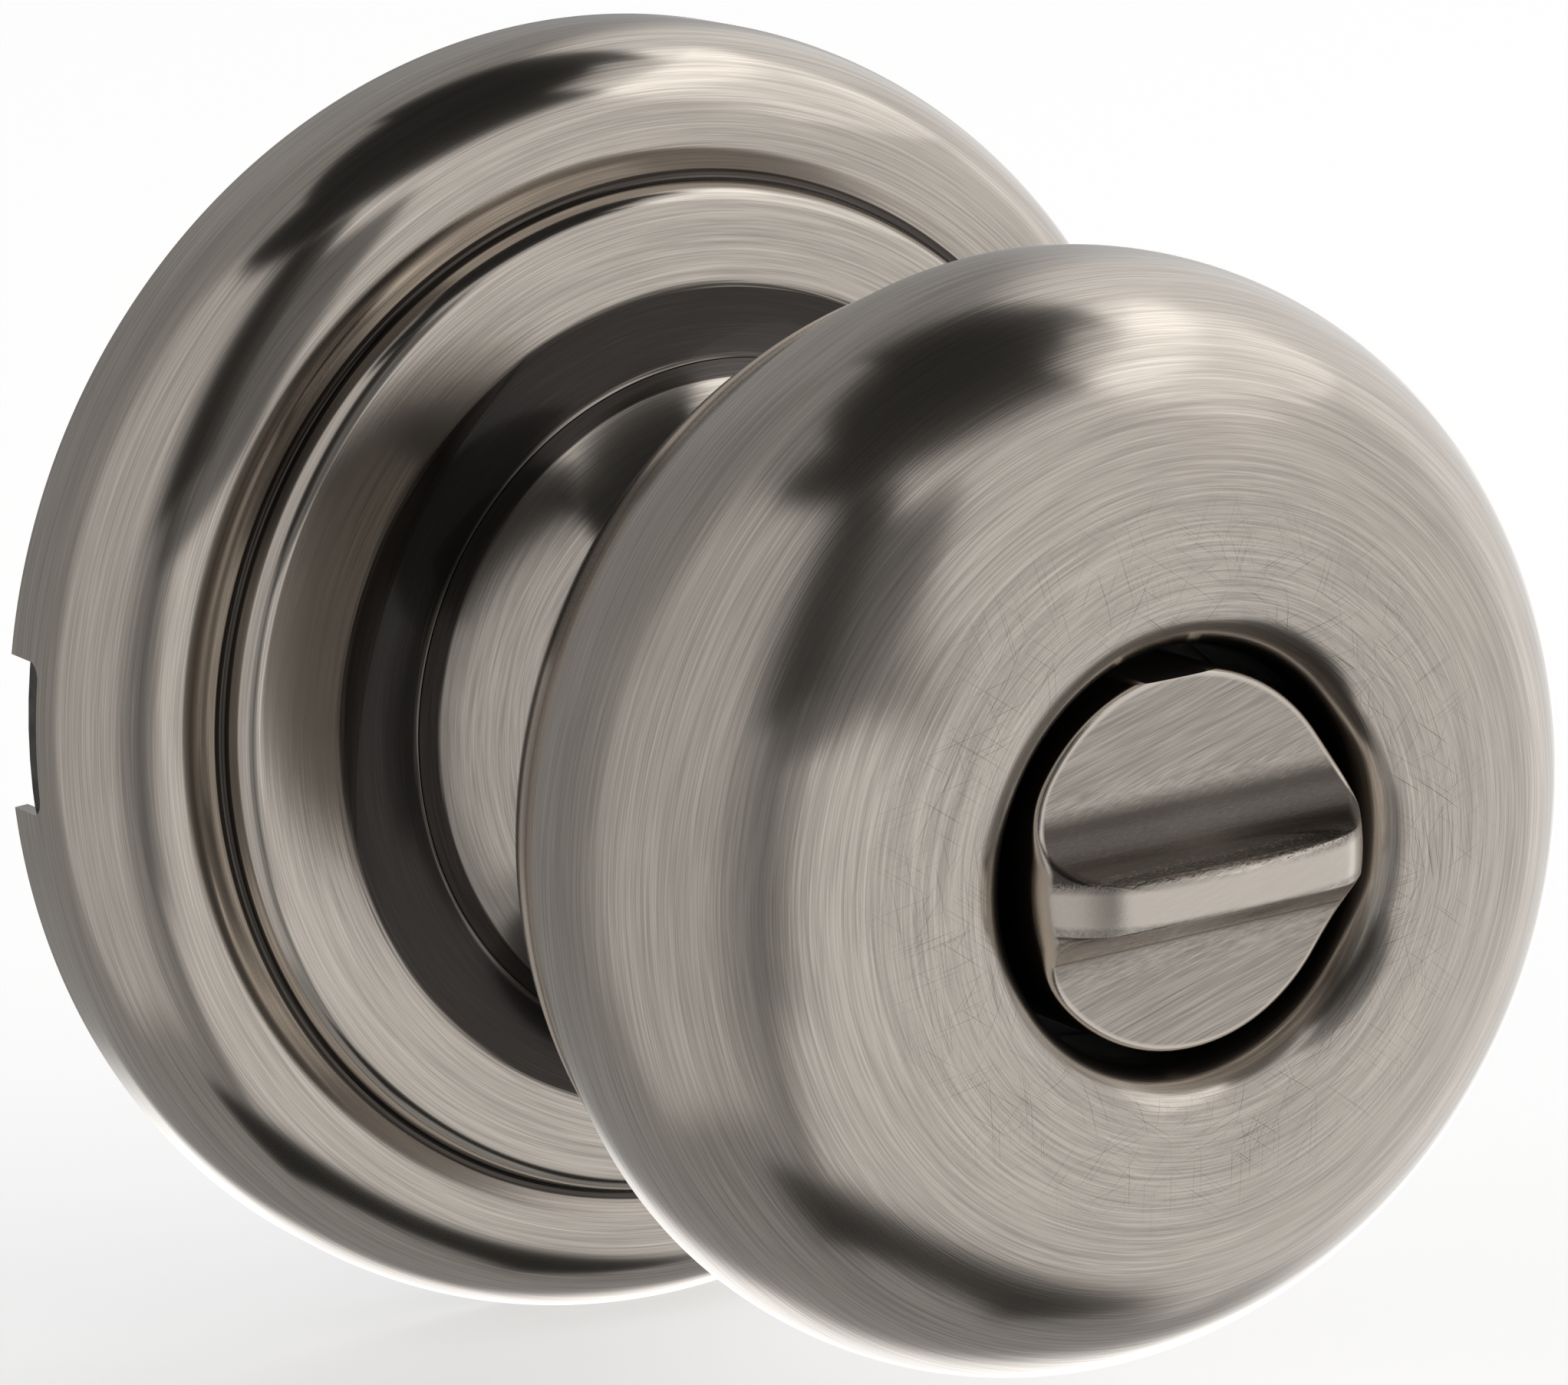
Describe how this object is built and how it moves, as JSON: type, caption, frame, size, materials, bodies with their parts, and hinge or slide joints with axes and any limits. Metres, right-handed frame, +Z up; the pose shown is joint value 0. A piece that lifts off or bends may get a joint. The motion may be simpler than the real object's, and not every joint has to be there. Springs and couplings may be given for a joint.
{
  "type": "privacy door knob",
  "caption": "Inside half of a privacy door knob: stepped round rose, flared neck, hollow ball knob with a domed face, and a turn button with a finger bar.",
  "frame": {"origin": "on the knob's axis at the door's face, the centre of the ring that registers in the door's bore", "axes": "+Z up, +Y into the door, so the knob points to -Y; +X to the right as seen from the room"},
  "size_m": [0.0666, 0.0785, 0.0666],
  "materials": {
    "antique_nickel": "circularly brushed antique nickel plate under clear lacquer, darker in the hollows",
    "zinc_plated_steel": "bright zinc plate, satin",
    "zinc_casting": null,
    "bearing_brass": "turned, satin",
    "hardened_steel": "heat-treated, dark oiled",
    "spring_steel": "drawn and oiled",
    "moulded_acetal": "black moulded"
  },
  "bodies": {
    "chassis": {"rose": "antique_nickel", "mounting_plate": "zinc_plated_steel", "mounting_screws": "zinc_plated_steel", "spring_housing": "zinc_plated_steel", "housing_rivets": "zinc_plated_steel", "housing_bushing": "bearing_brass", "return_spring": "spring_steel"},
    "knob": {"knob_front_shell": "antique_nickel", "knob_back_shell": "antique_nickel", "knob_core": "zinc_casting", "drive_sleeve": "zinc_plated_steel", "spring_driver": "hardened_steel", "retaining_ring": "spring_steel", "thrust_washer": "bearing_brass", "button_housing": "moulded_acetal", "detent_spring": "spring_steel", "catch_spring": "spring_steel"},
    "catch": {"knob_catch": "hardened_steel"},
    "button": {"turn_button": "antique_nickel", "locking_stem": "zinc_plated_steel", "button_clip": "spring_steel"}
  },
  "joints": [
    {"name": "knob_turn", "type": "hinge", "parent": "chassis", "child": "knob", "pos_m": [0, 0, 0], "axis": [0, -1, 0], "range_deg": [-60, 60], "stiffness_Nm_per_rad": 0.14, "deforming": ["return_spring"]},
    {"name": "button_turn", "type": "hinge", "parent": "knob", "child": "button", "pos_m": [0, 0, 0], "axis": [0, -1, 0], "range_deg": [-4, 86]},
    {"name": "catch_press", "type": "slide", "parent": "knob", "child": "catch", "axis": [0, 0, 1], "range_m": [0, 0.0013], "stiffness_N_per_m": 600, "springref_m": -0.001, "deforming": ["catch_spring"]}
  ]
}
